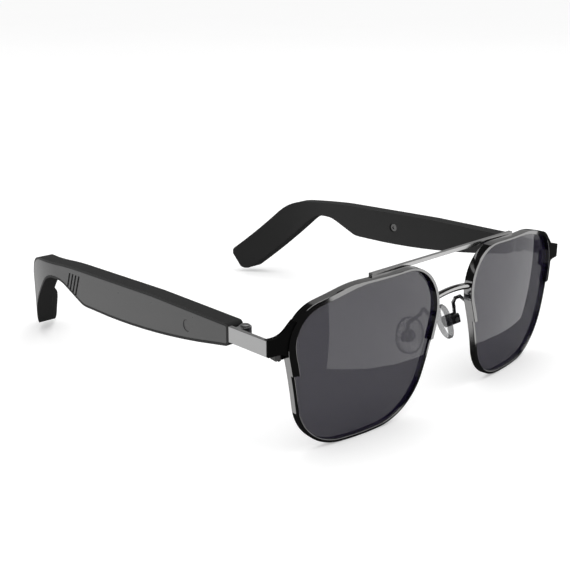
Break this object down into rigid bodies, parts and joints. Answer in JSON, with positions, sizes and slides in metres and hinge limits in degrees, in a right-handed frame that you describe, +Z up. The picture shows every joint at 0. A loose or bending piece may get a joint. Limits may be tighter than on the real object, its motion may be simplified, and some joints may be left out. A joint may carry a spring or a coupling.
{
  "type": "smart glasses",
  "caption": "Folding smart glasses with tinted lenses in metal rims, a brow bar, rocking nose pads and slim temples that hold speakers and batteries.",
  "frame": {"origin": "middle of the footprint, on the surface the glasses stand on", "axes": "+X towards the wearer's left, +Y from the lenses back to the temple tips, +Z up"},
  "size_m": [0.1426, 0.1569, 0.0486],
  "materials": {
    "lens_tint": "gloss",
    "rim_black": "polished",
    "screw_steel": "satin",
    "arm_steel": "satin",
    "wire_dark": "gloss",
    "silicone": "gloss",
    "core_steel": "satin",
    "shell_dark": "satin",
    "cover_grey": "satin",
    "cell_foil": "satin",
    "board_green": "satin",
    "speaker_black": "matte",
    "mesh_black": "matte",
    "mic_gold": "satin",
    "sensor_copper": "satin",
    "contact_plate": "polished",
    "bar_steel": "polished"
  },
  "bodies": {
    "front_frame": {"brow_bar": "bar_steel", "bridge": "wire_dark", "lens_left": "lens_tint", "lens_right": "lens_tint", "upper_rim_left": "rim_black", "upper_rim_right": "rim_black", "lower_rim_left": "rim_black", "lower_rim_right": "rim_black", "end_piece_left": "rim_black", "end_piece_right": "rim_black", "closing_block_left": "rim_black", "closing_block_right": "rim_black", "closing_screw_left": "screw_steel", "closing_screw_right": "screw_steel", "side_arm_left": "arm_steel", "side_arm_right": "arm_steel", "pad_arm_left": "wire_dark", "pad_arm_right": "wire_dark"},
    "temple_left": {"inner_shell_left": "shell_dark", "outer_cover_left": "cover_grey", "hinge_leaf_left": "arm_steel", "hinge_screw_left": "screw_steel", "leaf_screws_left": "screw_steel", "battery_left": "cell_foil", "main_board_left": "board_green", "speaker_left": "speaker_black", "speaker_mesh_left": "mesh_black", "microphone_left": "mic_gold", "touch_sensor_left": "sensor_copper", "charge_contact_left": "contact_plate"},
    "pad_left": {"nose_pad_left": "silicone", "pad_core_left": "core_steel", "pad_screw_left": "screw_steel"},
    "temple_right": {"inner_shell_right": "shell_dark", "outer_cover_right": "cover_grey", "hinge_leaf_right": "arm_steel", "hinge_screw_right": "screw_steel", "leaf_screws_right": "screw_steel", "battery_right": "cell_foil", "main_board_right": "board_green", "speaker_right": "speaker_black", "speaker_mesh_right": "mesh_black", "microphone_right": "mic_gold", "touch_sensor_right": "sensor_copper", "charge_contact_right": "contact_plate"},
    "pad_right": {"nose_pad_right": "silicone", "pad_core_right": "core_steel", "pad_screw_right": "screw_steel"}
  },
  "joints": [
    {"name": "temple_left_fold", "type": "hinge", "parent": "front_frame", "child": "temple_left", "pos_m": [0.067, -0.05688, 0.0347], "axis": [0, 0, 1], "range_deg": [0, 68]},
    {"name": "temple_right_fold", "type": "hinge", "parent": "front_frame", "child": "temple_right", "pos_m": [-0.067, -0.05688, 0.0347], "axis": [0, 0, -1], "range_deg": [0, 86.5]},
    {"name": "pad_left_rock", "type": "hinge", "parent": "front_frame", "child": "pad_left", "pos_m": [0.01218, -0.06964, 0.02297], "axis": [0.4384, 0.8988, 0], "range_deg": [-10, 10]},
    {"name": "pad_right_rock", "type": "hinge", "parent": "front_frame", "child": "pad_right", "pos_m": [-0.01218, -0.06964, 0.02297], "axis": [-0.4384, 0.8988, 0], "range_deg": [-10, 10]}
  ]
}
